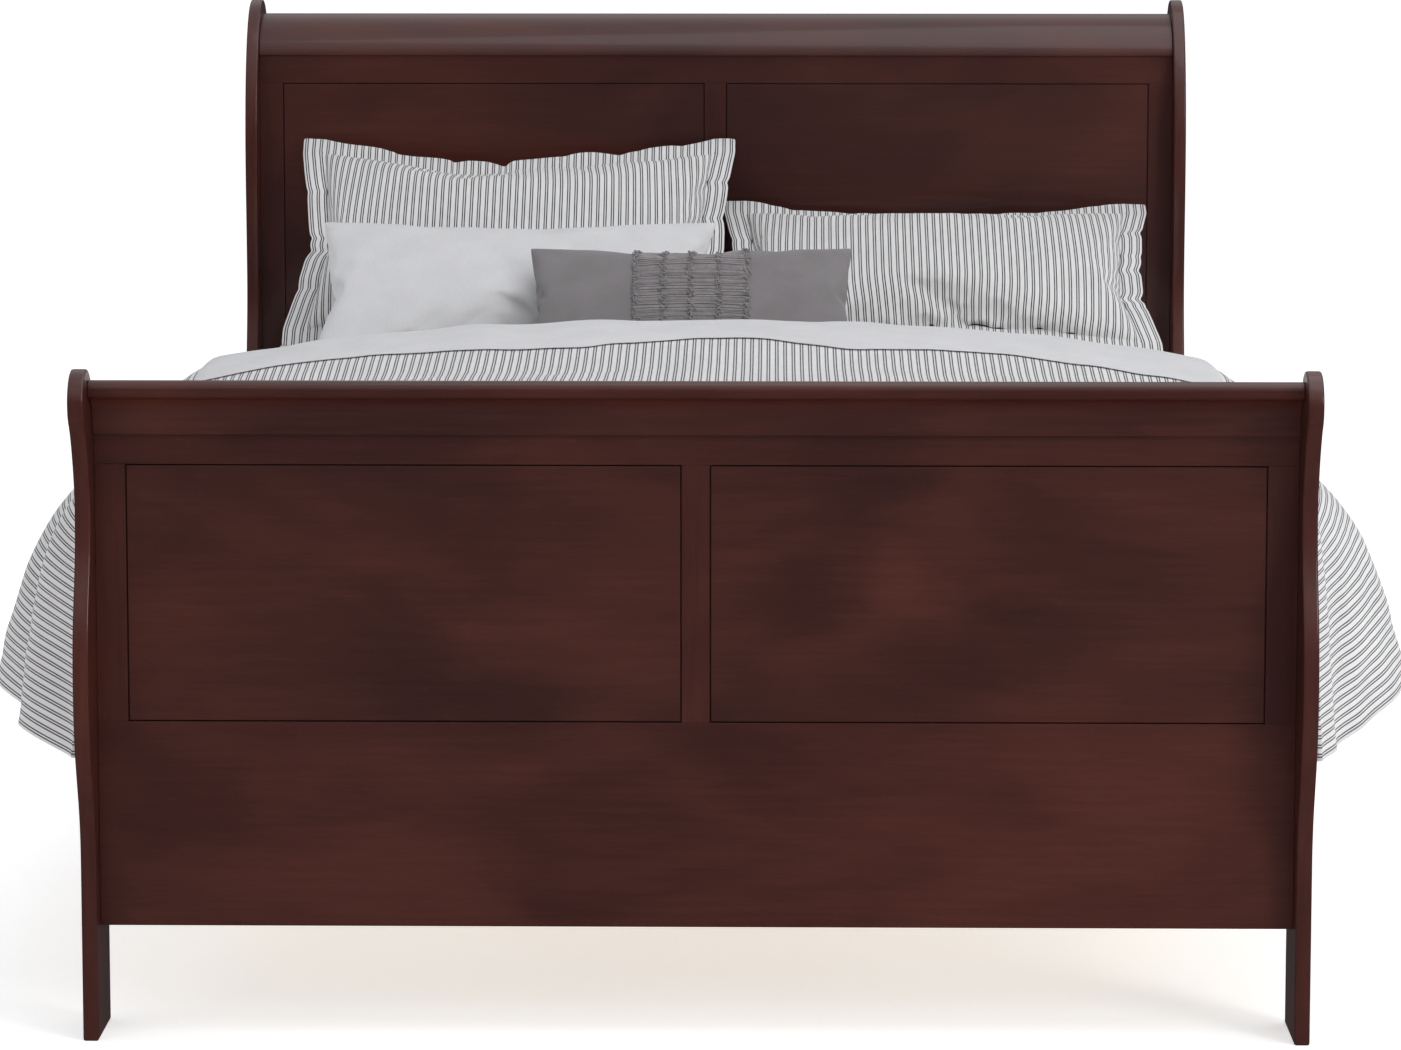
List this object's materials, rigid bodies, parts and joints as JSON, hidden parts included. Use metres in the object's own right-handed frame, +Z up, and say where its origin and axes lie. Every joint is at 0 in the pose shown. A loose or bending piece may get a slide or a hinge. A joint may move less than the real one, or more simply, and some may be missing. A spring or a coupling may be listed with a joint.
{
  "type": "sleigh bed",
  "caption": "Made-up sleigh bed: curled dark cherry headboard and footboard with flat panels, side rails, slats, mattress, striped comforter draped over the sides and pillows.",
  "frame": {"origin": "centre of the overall bounding box, at floor level", "axes": "+Z up, +Y from the footboard to the headboard, +X to the right of someone standing at the foot and facing the headboard"},
  "size_m": [1.915, 2.3619, 1.3],
  "materials": {
    "cherry_wood": "dark red-brown cherry stain under satin-gloss lacquer",
    "cherry_veneer": "dark red-brown cherry veneer with mottled figure, satin-gloss lacquer",
    "pine": "bare planed pine",
    "zinc_steel": "zinc-plated steel",
    "black_plastic": "black moulded plastic",
    "foundation_cloth": "woven off-white cover",
    "mattress_cloth": "quilted off-white knit",
    "striped_ticking": "off-white cotton with paired dark grey pinstripes",
    "white_cotton": "white cotton percale",
    "grey_cotton": "mid-grey woven cotton with a fringed band of the same colour across its middle"
  },
  "bodies": {
    "bed": {"footboard_post_left": "cherry_wood", "footboard_post_right": "cherry_wood", "footboard_scroll_rail": "cherry_wood", "footboard_top_rail": "cherry_wood", "footboard_bottom_rail": "cherry_wood", "footboard_stile_left": "cherry_wood", "footboard_mullion": "cherry_wood", "footboard_stile_right": "cherry_wood", "headboard_post_left": "cherry_wood", "headboard_post_right": "cherry_wood", "headboard_scroll_rail": "cherry_wood", "headboard_top_rail": "cherry_wood", "headboard_bottom_rail": "cherry_wood", "headboard_stile_left": "cherry_wood", "headboard_mullion": "cherry_wood", "headboard_stile_right": "cherry_wood", "side_rail_left": "cherry_wood", "side_rail_right": "cherry_wood", "bolt_cap_left": "cherry_wood", "bolt_cap_right": "cherry_wood", "footboard_panel_left": "cherry_veneer", "footboard_panel_right": "cherry_veneer", "headboard_panel_left": "cherry_veneer", "headboard_panel_right": "cherry_veneer", "slat_cleat_left": "pine", "slat_cleat_right": "pine", "slat_1": "pine", "slat_2": "pine", "slat_3": "pine", "slat_4": "pine", "slat_5": "pine", "slat_6": "pine", "slat_7": "pine", "centre_beam": "pine", "support_leg_1": "pine", "support_leg_2": "pine", "support_leg_3": "pine", "hook_plate_foot_left": "zinc_steel", "hook_plate_foot_right": "zinc_steel", "hook_plate_head_left": "zinc_steel", "hook_plate_head_right": "zinc_steel", "foundation": "foundation_cloth", "mattress": "mattress_cloth", "comforter": "striped_ticking", "sham_left": "striped_ticking", "sham_right": "striped_ticking", "sheet_cuff": "white_cotton", "pillow_white": "white_cotton", "lumbar_pillow": "grey_cotton"},
    "levelling_foot_1": {"screw_foot_1": "black_plastic"},
    "levelling_foot_2": {"screw_foot_2": "black_plastic"},
    "levelling_foot_3": {"screw_foot_3": "black_plastic"}
  },
  "joints": [
    {"name": "levelling_foot_1_screw", "type": "slide", "parent": "bed", "child": "levelling_foot_1", "axis": [0, 0, 1], "range_m": [0, 0.012]},
    {"name": "levelling_foot_2_screw", "type": "slide", "parent": "bed", "child": "levelling_foot_2", "axis": [0, 0, 1], "range_m": [0, 0.012]},
    {"name": "levelling_foot_3_screw", "type": "slide", "parent": "bed", "child": "levelling_foot_3", "axis": [0, 0, 1], "range_m": [0, 0.012]}
  ]
}
